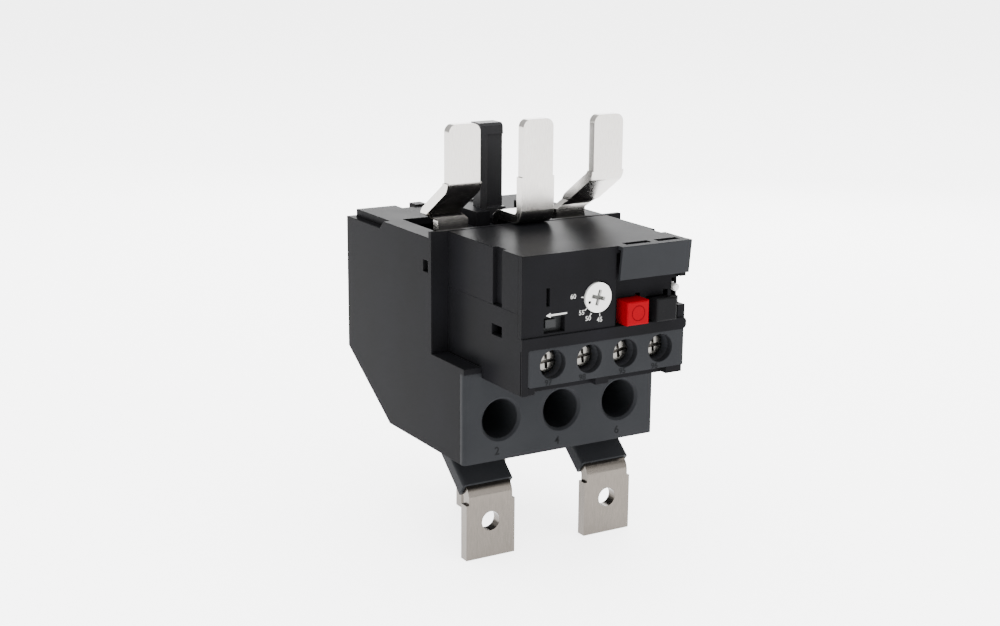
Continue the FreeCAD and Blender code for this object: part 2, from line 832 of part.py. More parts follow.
def make_housing_shell():
    """Lower shell as one moulding: floor, walls, bed of the terminal cover, ledge and feet."""
    low, split = up(mechanism_low), up(split_level)
    back_y = back(mechanism_depth)
    shelf_y, shelf_z = back(overhang) - joint_gap, up(shelf_height)
    ledge_top, ledge_z = up(ledge_level), up(ledge_low)
    shelf_top = up(contact_shelf)
    bed_y = back(strip_bed)
    bed_end = bed_y + strip_bed_thick
    above = split + clear
    outline = [(bed_y, low), (shelf_y, low), (shelf_y, shelf_z), (back_y, shelf_z), (back_y, split),
               (panel_y, split), (panel_y, ledge_z), (bed_y, ledge_z)]
    body = prism_x(outline, -half_mechanism, half_mechanism)
    hollow = [(bed_end, low + skin), (shelf_y - skin, low + skin), (shelf_y - skin, shelf_z + skin),
              (back_y - skin, shelf_z + skin), (back_y - skin, above), (panel_y + skin, above),
              (panel_y + skin, shelf_top), (bed_end, shelf_top)]
    body = body.cut(prism_x(hollow, -inside, inside))

    # Room for the dial panel and for the recess of the buttons
    body = body.cut(box(-half_mechanism, half_mechanism, panel_y, panel_y + skin, ledge_top, above))
    body = body.cut(box(panel_right, half_mechanism, panel_y, back(recess_floor), ledge_top, above))

    # Ledge with a rounded end, left bar and feet around the control terminal cover
    ledge = box(-half_mechanism, half_mechanism + ledge_side, panel_y - ledge_proud, panel_y + skin,
                ledge_z, ledge_top)
    ledge = rounded(ledge, ledge_round, lambda at, way: along(way, 1) and at.x > half_mechanism)
    body = body.fuse(ledge)
    body = body.fuse(box(-half_mechanism, -half_mechanism + strip_side, panel_y - ledge_proud, bed_y,
                         low, ledge_z))
    for left, right in clip_feet:
        body = body.fuse(box(left, right, panel_y, bed_y, low, up(strip_low)))
    seam_y = back(seam_front)
    seam = box(-half_mechanism - clear, -half_mechanism + seam_depth, seam_y, seam_y + seam_width,
               low, ledge_z)
    return body.cut(seam)


def make_mechanism_housing():
    """Lower shell of the trip mechanism, with the control terminal cells."""
    body = make_housing_shell()
    low, split = up(mechanism_low), up(split_level)
    back_y = back(mechanism_depth)
    ledge_top, shelf_top = up(ledge_level), up(contact_shelf)
    lid_low = up(lid_level) - skin

    # The back wall, the floor of the recess and the side of the recess reach the lid
    recess_y = back(recess_floor)
    floor_end = recess_y + recess_floor_thick
    within = inside - joint_gap
    body = body.fuse(box(-within, within, back_y - skin, back_y, split - skin, lid_low))
    body = body.fuse(box(panel_right, inside, recess_y, floor_end, ledge_top - skin, lid_low))
    side_right = panel_right + joint_gap
    body = body.fuse(box(side_right - skin, side_right, panel_y + skin, floor_end,
                         ledge_top - skin, lid_low))
    body = body.fuse(box(half_mechanism - cheek_width, half_mechanism, panel_y, recess_y, ledge_top - skin,
                         up(cut_low)))
    body = body.cut(side_opening())

    # Cells and shelf of the control terminals
    bed_end = back(strip_bed) + strip_bed_thick
    shelf_end = back(contact_shelf_end)
    body = body.fuse(box(-inside, inside, bed_end, shelf_end, shelf_top - contact_shelf_thick, shelf_top))
    for x in [control_centres[0] + control_pitch * (i + 0.5) for i in range(3)]:
        body = body.fuse(box(x - cell_wall / 2, x + cell_wall / 2, bed_end, shelf_end, low + skin,
                             shelf_top - contact_shelf_thick))
    z = up(control_level)
    half = control_bore / 2 + head_room
    half_notch = contact_width / 2 + joint_gap
    notch_y = back(contact_plate) - joint_gap
    wire_y = back(wire_front)
    for x, strip_x in zip(control_centres, contact_centres):
        body = body.cut(box(x - half, x + half, back(strip_bed) - clear, bed_end, z - half, z + half))
        body = body.cut(box(strip_x - half_notch, strip_x + half_notch,
                            notch_y, notch_y + 2 * contact_thick + joint_gap,
                            shelf_top - contact_shelf_thick, shelf_top))
        body = body.cut(box(x - wire_width / 2, x + wire_width / 2, wire_y, wire_y + wire_length,
                            low - clear, low + skin))

    # Seat of the button springs
    seat_y = back(seat_front)
    seat_low, seat_top = ledge_top - seat_drop, ledge_top + seat_rise
    seat_left = stop_x - stop_width / 2 - seat_side
    body = body.fuse(box(seat_left, inside, seat_y, seat_y + seat_thick, seat_low, seat_top))
    foot_left = contact_centres[2] + contact_width / 2 + seat_side
    foot_right = contact_centres[3] - contact_width / 2 - seat_side
    body = body.fuse(box(foot_left, foot_right, seat_y, seat_y + seat_thick, shelf_top, seat_low))

    # Bearing of the dial shaft and boss of the lever pin
    bearing_y = back(bearing_front)
    dial_z = up(dial_level)
    bearing_end = bearing_y + bearing_thick
    bearing = box(dial_x - bearing_width / 2, dial_x + bearing_width / 2, bearing_y, bearing_end,
                  up(shelf_height), dial_z + bearing_over_dial)
    bore = rod_y(dial_x, dial_z, dial_shaft / 2 + pin_gap, bearing_y - clear, bearing_end + clear)
    bearing = bearing.cut(bore)
    body = body.fuse(bearing)
    boss_y = back(lever_front) + lever_thick + slide_gap
    body = body.fuse(rod_y(lever_x, up(lever_level), lever_boss / 2, boss_y, back_y - skin / 2))
    body = body.cut(rod_y(lever_x, up(lever_level), lever_pin / 2, boss_y - clear, back_y - skin))

    # Stop of the test slider
    stop_left = test_slider_ends()[1] + slide_gap
    body = body.fuse(box(stop_left, stop_left + skin, panel_y + skin, panel_y + skin + test_end_depth,
                         ledge_top - ledge_thick / 2, up(test_low) + test_height))

    # Holes of the buttons, each with a small notch, and slot of the mode selector
    top = up(button_low) + button_tall
    hole_front = recess_y - clear
    for x, width, slope in ((stop_x, stop_width, 0.0), (reset_x, reset_width, reset_slope)):
        right = x + width / 2 + slide_gap
        body = body.cut(box(x - width / 2 - slide_gap, right, hole_front, floor_end, ledge_top,
                            top + slide_gap - slope / 2))
        body = body.cut(box(right - notch_width, right, hole_front, floor_end,
                            ledge_top, top + notch_height))
    body = body.cut(selector_slot())

    # Slot for the arm of the tripping slide, and the latch windows
    body = body.cut(arm_window(back_y - skin - clear, back_y + clear))
    latch_y = back(latch_front)
    latch_low = ledge_top - latch_drop
    for side in (-1, 1):
        x_out = side * (half_mechanism + clear)
        x_in = side * inside
        body = body.cut(box(min(x_out, x_in), max(x_out, x_in), latch_y, latch_y + latch_width,
                            latch_low, latch_low + latch_height))
    return body.removeSplitter()


def make_mechanism_lid():
    """Upper shell over the trip mechanism."""
    split, top = up(split_level), up(lid_level)
    back_y = back(mechanism_depth)
    arch = [(-half_mechanism, split), (-inside, split), (-inside, top - skin), (inside, top - skin),
            (inside, split), (half_mechanism, split), (half_mechanism, top), (-half_mechanism, top)]
    lid = prism_y(arch, panel_y, back_y)
    lid = lid.cut(box(-half_mechanism, panel_right, panel_y, panel_y + skin, split, top))
    lid = lid.cut(side_opening())
    lid = lid.cut(selector_slot())
    groove_y = back(groove_front)
    for side in (-1, 1):
        x_out = side * half_mechanism
        x_in = x_out - side * groove_depth
        lid = lid.cut(box(min(x_out, x_in), max(x_out, x_in), groove_y, groove_y + groove_width, split, top))
    slot_y = back(flap_slot_front)
    for left, right in flap_slots:
        lid = lid.cut(box(left, right, slot_y, slot_y + flap_slot_length, top - skin, top))
    return lid.removeSplitter()


def make_dial_panel():
    """Front plate around the dial, with the windows of the flag and the test slider."""
    panel = box(-half_mechanism, panel_right, panel_y, panel_y + skin, up(ledge_level), up(lid_level))
    before, behind = panel_y - clear, panel_y + skin + clear
    panel = panel.cut(rod_y(dial_x, up(dial_level), dial_face / 2 + dial_ring, before, behind))
    panel = panel.cut(box(flag_left, flag_left + flag_window, before, behind,
                          up(flag_low), up(flag_low) + flag_window_height))
    panel = panel.cut(box(test_left, test_left + test_window, before, behind,
                          up(test_low), up(test_low) + test_height))
    return panel


def make_dial():
    """Setting dial: head, shaft and the cam that moves the tripping point."""
    z = up(dial_level)
    head_y = panel_y - dial_proud
    head = rod_y(dial_x, z, dial_face / 2, head_y, head_y + dial_thick)
    arm, half = dial_cross / 2, dial_cross_width / 2
    across = box(-arm, arm, 0, dial_cross_depth, -half, half)
    upright = box(-half, half, 0, dial_cross_depth, -arm, arm)
    cross = across.fuse(upright)
    cross.rotate(V(0, 0, 0), V(0, 1, 0), -dial_cross_angle)
    cross.translate(V(dial_x, head_y, z))
    head = head.cut(cross)
    turn = radians(dial_cam_angle)
    cam_y = back(bearing_front) + bearing_thick + slide_gap
    shaft = rod_y(dial_x, z, dial_shaft / 2, head_y + dial_thick, cam_y + dial_cam_thick)
    cam = rod_y(dial_x + dial_cam_off * cos(turn), z + dial_cam_off * sin(turn), dial_cam / 2,
                cam_y, cam_y + dial_cam_thick)
    return head.fuse(shaft).fuse(cam).removeSplitter()


def make_button(x, width, slope):
    """Push button: cap through the recess floor and a flange behind it."""
    half = width / 2
    low, high = up(button_low), up(button_low) + button_tall
    front, flange_y = panel_y - button_proud, back(flange_front)
    end = flange_y + button_flange_thick
    cap = prism_x([(front, low), (end, low), (end, high - slope), (front, high)], x - half, x + half)
    cap = rounded(cap, button_round, lambda at, way: at.y < front + tiny)
    wide = half + button_flange
    flange = box(x - wide, x + wide, flange_y, end, low, high)
    return cap.fuse(flange).removeSplitter()


def make_button_spring(x):
    """Return spring between a button's flange and its seat."""
    spring = coil_spring(button_spring_length, spring_radius, spring_turns)
    spring.rotate(V(0, 0, 0), V(1, 0, 0), -90)
    spring.translate(V(x, back(seat_front) - button_spring_length, up(button_level)))
    return spring


def test_slider_ends():
    """X of the two ends of the test slider's plate."""
    return test_left - test_plate_side, test_left + test_window + test_travel + joint_gap


def make_test_slider():
    """Slider behind the panel, with a nub in the window and an end for its spring."""
    plate_y = panel_y + skin + slide_gap
    nub_left, nub_low = test_left + test_nub_side, up(test_low) + test_nub_rise
    nub = box(nub_left, nub_left + test_nub, panel_y + test_sunk, plate_y + test_plate_thick / 2,
              nub_low, nub_low + test_nub_tall)
    left, right = test_slider_ends()
    plate = box(left, right, plate_y, plate_y + test_plate_thick, up(ledge_level) + slide_gap,
                up(test_low) + test_height + test_plate_side)
    middle = up(test_low) + test_height / 2
    half = spring_radius / 2 + spring_wire
    end = box(left, left + test_end, plate_y, plate_y + test_end_depth, middle - half, middle + half)
    return nub.fuse(plate).fuse(end).removeSplitter()


def make_test_spring():
    """Return spring between the side wall and the test slider."""
    radius = spring_radius / 2
    start, end = -inside, test_slider_ends()[0]
    spring = coil_spring(end - start, radius, test_spring_turns)
    spring.rotate(V(0, 0, 0), V(0, 1, 0), 90)
    middle_y = panel_y + skin + slide_gap + radius + spring_wire
    spring.translate(V(start, middle_y, up(test_low) + test_height / 2))
    return spring


def make_mode_selector():
    """Pin in the slot beside the buttons, on a small plate behind the recess floor."""
    z = up(selector_level)
    radius = selector_pin / 2
    front = back(recess_floor) - selector_proud
    plate_y = back(flange_front)
    slot_right = half_mechanism - cheek_step
    pin = rod_y((selector_slot_left + slot_right) / 2, z, radius, front, plate_y + selector_plate / 2)
    rim = [edge for edge in pin.Edges if edge.BoundBox.YMax < front + tiny]
    pin = pin.makeChamfer(selector_chamfer, rim)
    plate = box(selector_plate_left, slot_right - slide_gap, plate_y, plate_y + selector_plate,
                z - radius, z + radius)
    return pin.fuse(plate).removeSplitter()


def make_contact_carrier():
    """Moulded bar that carries both contact bridges and the trip flag."""
    front, end = back(carrier_front), back(carrier_front) + carrier_depth
    low, high = up(carrier_low), up(carrier_low) + carrier_tall
    bar = box(carrier_left, carrier_right, front, end, low, high)
    tail_end = back(lever_front) + lever_thick
    tail_left = lever_x - lever_reach
    bar = bar.fuse(box(tail_left, tail_left + carrier_tail, end, tail_end, low, high))
    flag_y = panel_y + skin + joint_gap
    bar = bar.fuse(box(carrier_left, carrier_left + flag_width, flag_y + flag_thick, front, low, high))
    return bar.removeSplitter()


def make_trip_flag():
    """Coloured plate that drops into the window when the relay has tripped."""
    flag_y = panel_y + skin + joint_gap
    return box(carrier_left, carrier_left + flag_width, flag_y, flag_y + flag_thick,
               up(carrier_low), up(carrier_low) + flag_height)


def bridge(first, second, low, tips_up):
    """Contact bridge across two fixed contacts, with a square contact tip at each end."""
    middle_y = back(carrier_front) + carrier_depth / 2
    bar = box(first - bridge_reach, second + bridge_reach, middle_y - bridge_width / 2,
              middle_y + bridge_width / 2, low, low + bridge_thick)
    tip_low = low + bridge_thick if tips_up else low - tip_tall
    for x in (first, second):
        bar = bar.fuse(box(x - tip_half, x + tip_half, middle_y - tip_half, middle_y + tip_half,
                           tip_low, tip_low + tip_tall))
    return bar


def make_closing_bridge():
    """Bridge of the normally open contact, under the carrier."""
    return bridge(contact_centres[0], contact_centres[1], up(carrier_low) - bridge_thick, False)


def make_opening_bridge():
    """Bridge of the normally closed contact, on top of the carrier."""
    return bridge(contact_centres[2], contact_centres[3], up(carrier_low) + carrier_tall, True)


def make_fixed_contact(index):
    """Strip from a forked pad under a control screw to the place where the bridge meets it."""
    screw_x, x = control_centres[index], contact_centres[index]
    plate_y = back(contact_plate) + contact_thick / 2
    run_z = up(contact_shelf) + contact_thick / 2
    rise_y = back(contact_back) + contact_thick / 2
    reach = bridge_thick + tip_tall + contact_air + contact_thick / 2
    if index < 2:
        top = up(carrier_low) - carrier_travel - reach
    else:
        top = up(carrier_low) + carrier_tall + reach
    low = up(control_level) - clamp_size / 2
    route = [(plate_y, low), (plate_y, run_z), (rise_y, run_z), (rise_y, top), (back(carrier_front), top)]
    strip = folded_strip(route, contact_thick, x - contact_width / 2, x + contact_width / 2)
    pad = box(screw_x - clamp_size / 2, screw_x + clamp_size / 2, back(contact_plate),
              back(contact_plate) + contact_thick, low, up(contact_shelf) - contact_shelf_thick - joint_gap)
    slot = control_screw / 2 + pin_gap
    fork = box(screw_x - slot, screw_x + slot, plate_y - contact_thick, plate_y + contact_thick,
               low, up(control_level) + slot)
    return strip.fuse(pad).cut(fork).removeSplitter()


def make_control_screws():
    """Control terminal screws and the forked clamps behind them."""
    screws = []
    clamps = []
    z = up(control_level)
    head_y = back(control_head_sunk)
    shank_y = head_y + control_head_thick
    clamp_y = back(contact_plate) + contact_thick
    half = clamp_size / 2
    slot = control_screw / 2 + pin_gap
    for x in control_centres:
        head = rod_y(x, z, control_head / 2, head_y, shank_y)
        screws.append(head.fuse(rod_y(x, z, control_screw / 2, shank_y, shank_y + control_screw_length)))
        clamp = box(x - half, x + half, clamp_y, clamp_y + clamp_thick, z - half,
                    up(contact_shelf) - contact_shelf_thick - joint_gap)
        clamps.append(clamp.cut(box(x - slot, x + slot, clamp_y, clamp_y + clamp_thick, z - half, z + slot)))
    return Part.makeCompound(screws), Part.makeCompound(clamps)


def make_control_cover():
    """Grey cover over the control terminals, let in flush with the dial panel."""
    left, right = -half_mechanism + strip_side, half_mechanism - strip_right_gap
    end = panel_y + strip_thick
    cover = box(left, right, panel_y, end, up(strip_low), up(ledge_low))
    cover = rounded(cover, strip_round, lambda at, way: along(way, 1) and at.x < 0)
    for x in control_centres:
        cover = cover.cut(rod_y(x, up(control_level), control_bore / 2, panel_y - clear, end + clear))
    return cover


def make_trip_lever():
    """Two-armed lever between the tripping slide and the contact carrier."""
    y0, y1 = back(lever_front), back(lever_front) + lever_thick
    z, tip_z = up(lever_level), up(slide_low) + lever_tip_rise
    hub = rod_y(lever_x, z, lever_boss / 2, y0, y1)
    tip_left = arm_side + arm_thick + joint_gap + pin_gap
    low_arm = prism_y([(lever_x - lever_shoulder, z), (lever_x + lever_shoulder, z),
                       (tip_left + lever_tip_thick, tip_z), (tip_left, tip_z),
                       (tip_left, tip_z + lever_tip_thick)], y0, y1)
    top_low = up(carrier_low) + carrier_tall + joint_gap
    high_arm = box(lever_x - lever_reach, lever_x, y0, y1, top_low, top_low + lever_arm_tall)
    lever = hub.fuse(low_arm).fuse(high_arm)
    return lever.cut(rod_y(lever_x, z, lever_pin / 2 + pin_gap, y0 - clear, y1 + clear)).removeSplitter()


def make_lever_pin():
    end = back(mechanism_depth) - skin
    return rod_y(lever_x, up(lever_level), lever_pin / 2, end - lever_pin_length - lever_thick, end)


def make_marker_flap():
    """Slanted grey flap over the button recess."""
    top, low = up(lid_level), up(lid_level) - flap_drop
    y_top, y_low = panel_y - flap_top_proud, panel_y - flap_low_proud
    right = half_mechanism + flap_side
    outline = [(y_low, low), (y_low + flap_thick, low), (y_top + flap_thick, top - flap_thick),
               (panel_y, top - flap_thick), (panel_y, top), (y_top, top)]
    flap = prism_x(outline, flap_left, right)
    lug_z = (low + top) / 2 - flap_lug_tall / 2
    for share in (0.25, 0.75):
        lug_x = flap_left + (right - flap_left) * share - flap_lug_width / 2
        flap = flap.fuse(box(lug_x, lug_x + flap_lug_width, y_top + flap_thick, back(recess_floor),
                             lug_z, lug_z + flap_lug_tall))
    return flap.removeSplitter()


def make_coupling_hook():
    """Hook that locks the relay to the contactor's housing, hollowed beside a rib."""
    low, top = up(deck_height), up(hook_height)
    front = back(hook_front)
    root_z, nose_z = low + hook_root, top - hook_nose_tall
    end = front + hook_cap
    side = [(front, low), (front + hook_thick, low), (front + hook_thick, root_z),
            (front + hook_top_thick, nose_z), (end, top - hook_cap_tall), (end, top),
            (front + hook_chamfer, top), (front, top - hook_chamfer)]
    face = [(hook_left, low), (hook_low_right, low), (hook_top_right, top), (hook_left, top)]
    hook = prism_x(side, hook_left, hook_low_right).common(prism_y(face, front, end))
    hollow = [(front - clear, root_z), (front + hook_hollow_low, root_z), (front + hook_hollow_top, nose_z),
              (front - clear, nose_z)]
    return hook.cut(prism_x(hollow, hook_left + hook_rib, hook_low_right + clear))


def collect_parts():
    parts = {}
    parts["base_housing"] = make_base_housing()
    parts["terminal_cover"] = make_terminal_cover()
    parts["coupling_hook"] = make_coupling_hook()
    for name, x in zip(("left", "middle", "right"), pole_centres):
        parts["supply_blade_" + name] = make_supply_blade(x)
        parts["load_tab_" + name] = make_load_tab(x)
        parts["heater_" + name] = make_heater(x)
        parts["bimetal_" + name] = make_bimetal(x)
        if x != 0:
            parts["tab_sleeve_" + name] = make_sleeve(x)
    parts["power_screws"], parts["power_nuts"] = make_power_screws()
    parts["trip_slide"] = make_trip_slide()
    parts["differential_slide"] = make_differential_slide()
    parts["mechanism_housing"] = make_mechanism_housing()
    parts["mechanism_lid"] = make_mechanism_lid()
    parts["dial_panel"] = make_dial_panel()
    parts["setting_dial"] = make_dial()
    parts["stop_button"] = make_button(stop_x, stop_width, 0.0)
    parts["reset_button"] = make_button(reset_x, reset_width, reset_slope)
    parts["stop_spring"] = make_button_spring(stop_x)
    parts["reset_spring"] = make_button_spring(reset_x)
    parts["test_slider"] = make_test_slider()
    parts["test_spring"] = make_test_spring()
    parts["mode_selector"] = make_mode_selector()
    parts["contact_carrier"] = make_contact_carrier()
    parts["trip_flag"] = make_trip_flag()
    parts["closing_bridge"] = make_closing_bridge()
    parts["opening_bridge"] = make_opening_bridge()
    for index, number in enumerate((97, 98, 95, 96)):
        parts["fixed_contact_%d" % number] = make_fixed_contact(index)
    parts["control_screws"], parts["control_clamps"] = make_control_screws()
    parts["control_cover"] = make_control_cover()
    parts["trip_lever"] = make_trip_lever()
    parts["lever_pin"] = make_lever_pin()
    parts["marker_flap"] = make_marker_flap()
    return parts


os.makedirs("parts", exist_ok=True)
for node, shape in collect_parts().items():
    solids = shape.Solids
    if len(solids) == 1:
        shape = solids[0]
    shape.exportStep("parts/%s.step" % node)
    print(node, "solids", len(solids), "valid", shape.isValid(), "volume %.1f" % shape.Volume)
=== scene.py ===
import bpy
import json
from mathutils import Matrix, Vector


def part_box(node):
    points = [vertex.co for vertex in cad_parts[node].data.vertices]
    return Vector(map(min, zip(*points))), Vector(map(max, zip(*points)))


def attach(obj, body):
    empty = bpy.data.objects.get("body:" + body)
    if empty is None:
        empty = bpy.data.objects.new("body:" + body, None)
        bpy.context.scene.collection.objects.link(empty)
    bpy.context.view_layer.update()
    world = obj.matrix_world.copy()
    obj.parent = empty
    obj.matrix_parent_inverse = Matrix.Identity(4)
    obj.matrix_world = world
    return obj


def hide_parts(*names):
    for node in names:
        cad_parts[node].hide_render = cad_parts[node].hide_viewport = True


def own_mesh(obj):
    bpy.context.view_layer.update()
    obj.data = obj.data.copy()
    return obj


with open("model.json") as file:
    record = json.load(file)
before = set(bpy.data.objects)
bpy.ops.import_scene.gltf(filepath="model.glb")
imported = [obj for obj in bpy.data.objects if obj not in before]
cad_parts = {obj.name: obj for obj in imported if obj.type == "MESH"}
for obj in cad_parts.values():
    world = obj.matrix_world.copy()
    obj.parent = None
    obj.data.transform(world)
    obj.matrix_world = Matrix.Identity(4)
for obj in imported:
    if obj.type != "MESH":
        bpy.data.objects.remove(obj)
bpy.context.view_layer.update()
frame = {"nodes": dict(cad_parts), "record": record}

import json
from math import cos, radians, sin

import bmesh
import bpy
from mathutils import Matrix, Vector

# Sizes below are in millimetres, and this turns them into the scene's metres
MM = 0.001

# Where the dial panel and the underside of the base lie in the part's frame
PANEL_FRONT = 43.3
BASE_RISE = 29.0

# The camera that took the picture, in the part's own frame
CAMERA_YAW = radians(30.54)
CAMERA_PITCH = radians(13.83)
CAMERA_ROLL = radians(0.40)
CAMERA_TARGET = Vector((-31.13, -43.3, 74.71)) * MM
CAMERA_DISTANCE = 405.7 * MM
SENSOR_WIDTH = 36.0
LENS = 59.86

# Terminal screws: where they stand, how far each is turned, and where their heads bear
POLE_CENTRES = [-18.8, 0.0, 18.8]
POWER_SCREW_TURNS = [35, -20, 10]
POWER_LEVEL = 11.2
POWER_HEAD_SEAT = 41.2
CONTROL_CENTRES = [-15.6, -4.6, 6.4, 17.4]
CONTROL_SCREW_TURNS = [3, 6, 8, 4]
CONTROL_LEVEL = 30.6
CONTROL_HEAD_SEAT = 5.4
POWER_SCREW = {
    "head": 9.4, "thick": 3.2, "shank": 5.0, "length": 11.5, "slot_width": 1.5, "recess": 2.0,
}
CONTROL_SCREW = {
    "head": 6.4, "thick": 2.0, "shank": 3.4, "length": 9.0, "slot_width": 0.9, "recess": 1.3,
}

# Collars behind the bores of the control cover
COLLAR_OUTER = 4.3
COLLAR_INNER = 3.75
COLLAR_DEPTH = 3.2
COLLAR_FRONT = 2.0

# Return springs: wire radius, coil radius to the middle of the wire, and number of turns
SPRING_WIRE = 0.25
BUTTON_COIL_RADIUS = 1.9
BUTTON_COIL_TURNS = 3.5
SLIDER_COIL_RADIUS = 0.95
SLIDER_COIL_TURNS = 3
WIRE_SIDES = 12
STEPS_PER_TURN = 28

# Printed scale of the dial: number, its middle, the tick's outer and inner ends
SCALE = [
    ("60", (-9.9, 47.35), (-7.5, 46.95), (-6.8, 46.85)),
    ("55", (-7.3, 42.9), (-6.4, 43.35), (-5.7, 43.95)),
    ("50", (-5.3, 41.2), (-4.8, 41.85), (-4.35, 42.5)),
    ("45", (-1.8, 40.5), (-1.8, 41.45), (-1.85, 42.1)),
]
PRINT_RELIEF = 0.02
SCALE_NUMBER_HEIGHT = 1.2
TICK_WIDTH = 0.28

# Printed arrow above the test window
ARROW_TAIL = (-11.7, 43.42)
ARROW_NECK = (-16.6, 43.36)
ARROW_WIDTH = 0.52
ARROW_HEAD_BACK = (-16.5, 43.36)
ARROW_TIP = (-17.9, 43.35)
ARROW_HEAD_WIDTH = 1.25

# Marks on the dial: a printed dot, and a grey cross of painted shade in its cross recess
DIAL_CENTRE = (-2.5, 46.4)
DOT_ANGLE = radians(200)
DOT_DISTANCE = 2.85
DOT_RADIUS = 0.42
DOT_RELIEF = 0.03
DOT_DEPTH = -0.41
CROSS_SPAN = 4.0
CROSS_WIDTH = 0.96
CROSS_RELIEF = 0.04
CROSS_DEPTH = 0.48
CROSS_TURN = radians(-15)

# Ring of painted shade on the red cap, where its groove runs
RING_MIDDLE = (8.5, -2.4, 41.45)
RING_OUTER = 2.0
RING_INNER = 1.86
RING_RELIEF = 0.02

# Raised numbers: number and its place across
CONTROL_NUMBERS = [("97", -16.9), ("98", -6.7), ("95", 5.6), ("96", 15.7)]
CONTROL_NUMBER_HEIGHT = 1.5
CONTROL_NUMBER_DEPTH = 0.0
CONTROL_NUMBER_LEVEL = 25.95
POWER_NUMBERS = [("2", -19.95), ("4", -1.24), ("6", 18.1)]
POWER_NUMBER_HEIGHT = 2.2
POWER_NUMBER_DEPTH = 20.0
POWER_NUMBER_LEVEL = 2.5
RAISED_RELIEF = 0.1
RAISED_WEIGHT = 0.02

# Share of its size that a capital of the typeface is high
CAPITAL_SHARE = 0.7

# Modelling: sides of round pieces, how squarely a face must look one way to be picked, and the
# angle up to which edges are shaded smooth
ROUND_SIDES = 48
RING_SIDES = 64
DISC_SIDES = 32
FACING = 0.9
SMOOTH_ANGLE = radians(32)
SPRING_SMOOTH_ANGLE = radians(40)

# How much a metal's lines are stretched: drawn out upwards, or the same every way
ALONG = (1.0, 1.0, 0.08)
EVERY_WAY = (1.0, 1.0, 1.0)


def place(x, y, z):
    """Point of the frame from millimetres across, behind the dial panel and above the base."""
    return Vector((x, y - PANEL_FRONT, z + BASE_RISE)) * MM


def deselect():
    bpy.ops.object.select_all(action="DESELECT")


def pick(piece):
    """Makes a piece the only selected one, and the active one."""
    deselect()
    piece.select_set(True)
    bpy.context.view_layer.objects.active = piece


def remove(piece):
    deselect()
    piece.select_set(True)
    bpy.ops.object.delete()


def make_camera():
    forward = Vector((
        sin(CAMERA_YAW) * cos(CAMERA_PITCH),
        cos(CAMERA_YAW) * cos(CAMERA_PITCH),
        -sin(CAMERA_PITCH),
    ))
    level = Vector((cos(CAMERA_YAW), -sin(CAMERA_YAW), 0))
    upward = level.cross(forward)
    right = level * cos(CAMERA_ROLL) + upward * sin(CAMERA_ROLL)
    up = upward * cos(CAMERA_ROLL) - level * sin(CAMERA_ROLL)
    eye = CAMERA_TARGET - forward * CAMERA_DISTANCE
    lens = bpy.data.cameras.new("camera")
    lens.lens = LENS
    lens.sensor_width = SENSOR_WIDTH
    lens.sensor_fit = "HORIZONTAL"
    lens.clip_start = 0.01
    lens.clip_end = 40
    camera = bpy.data.objects.new("camera", lens)
    bpy.context.scene.collection.objects.link(camera)
    turn = Matrix((right, up, -forward)).transposed()
    camera.matrix_world = Matrix.Translation(eye) @ turn.to_4x4()
    bpy.context.scene.camera = camera


# Materials

def linear(hex_colour):
    """Linear RGBA of an sRGB hex colour."""
    channels = [int(hex_colour[i:i + 2], 16) / 255 for i in (1, 3, 5)]
    bent = [c / 12.92 if c <= 0.04045 else ((c + 0.055) / 1.055) ** 2.4 for c in channels]
    return (*bent, 1.0)


def add(tree, kind, values=None, links=None, **settings):
    """Adds a node, with values for its sockets, links into its sockets and its settings."""
    node = tree.nodes.new(kind)
    for name, setting in settings.items():
        setattr(node, name, setting)
    for socket, value in (values or {}).items():
        node.inputs[socket].default_value = value
    for socket, source in (links or {}).items():
        tree.links.new(source, node.inputs[socket])
    return node


def new_material(name):
    """Material, its tree, its output node and the Object coordinates that patterns lie on."""
    material = bpy.data.materials.new(name)
    material.use_nodes = True
    tree = material.node_tree
    tree.nodes.clear()
    output = add(tree, "ShaderNodeOutputMaterial")
    at = add(tree, "ShaderNodeTexCoord").outputs["Object"]
    return material, tree, output, at


def noise(tree, at, size_mm, detail):
    """Noise whose features are that far apart on the object."""
    scale = 1 / (size_mm * MM)
    return add(tree, "ShaderNodeTexNoise", {"Scale": scale, "Detail": detail},
               {"Vector": at}).outputs["Fac"]


def two_tone(tree, fac, dark, light):
    """Colour that runs from dark to light over the middle of a noise."""
    tint = add(tree, "ShaderNodeValToRGB", None, {"Fac": fac})
    tint.color_ramp.elements[0].position = 0.3
    tint.color_ramp.elements[0].color = linear(dark)
    tint.color_ramp.elements[1].position = 0.7
    tint.color_ramp.elements[1].color = linear(light)
    return tint.outputs["Color"]


def surface(tree, output, shader_values, colour, gloss_range, patches, relief, relief_strength,
            relief_mm, edge_mm):
    """Shader with a colour, a gloss that varies in patches, a fine relief and rounded edges."""
    low, high = gloss_range
    gloss = add(tree, "ShaderNodeMapRange", {"To Min": low, "To Max": high}, {"Value": patches})
    edge = add(tree, "ShaderNodeBevel", {"Radius": edge_mm * MM}, samples=4)
    bump = add(tree, "ShaderNodeBump", {"Strength": relief_strength, "Distance": relief_mm * MM},
               {"Height": relief, "Normal": edge.outputs["Normal"]})
    shader = add(tree, "ShaderNodeBsdfPrincipled", shader_values,
                 {"Base Color": colour, "Roughness": gloss.outputs["Result"],
                  "Normal": bump.outputs["Normal"]})
    tree.links.new(shader.outputs["BSDF"], output.inputs["Surface"])


